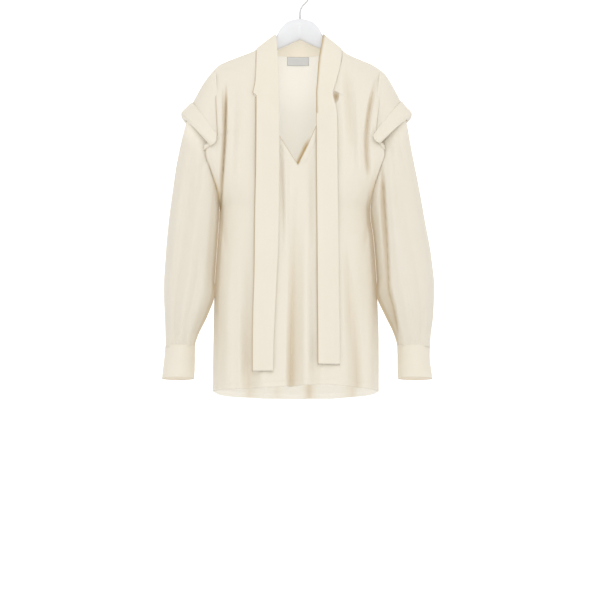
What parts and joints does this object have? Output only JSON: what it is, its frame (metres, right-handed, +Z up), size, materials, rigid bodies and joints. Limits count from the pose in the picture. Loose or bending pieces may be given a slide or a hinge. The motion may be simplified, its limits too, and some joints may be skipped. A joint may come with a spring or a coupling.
{
  "type": "tie neck blouse on a hanger",
  "caption": "Long-sleeved V-neck blouse with a loose scarf collar, short over-sleeves with turned-up bands and deep cuffs, held open on a moulded hanger with a wire hook.",
  "frame": {"origin": "inside top of the hanger's hook, where a rail carries it", "axes": "+Z up, the front of the blouse faces -Y, +X to the right as seen from the front"},
  "size_m": [0.5697, 0.2121, 0.8664],
  "materials": {
    "cloth": "smooth ivory satin-backed crepe with a soft sheen",
    "label": "plain woven grey tape, blank",
    "hanger": "smooth white moulding",
    "hook": "polished wire"
  },
  "bodies": {
    "root": {"front": "cloth", "back": "cloth", "sleeve_left": "cloth", "sleeve_right": "cloth", "cuff_left": "cloth", "cuff_right": "cloth", "cap_left": "cloth", "cap_right": "cloth", "cap_band_left": "cloth", "cap_band_right": "cloth", "neck_band": "cloth", "tie_left": "cloth", "tie_right": "cloth", "neck_label": "label", "hanger": "hanger", "hanger_hook": "hook"}
  },
  "joints": []
}
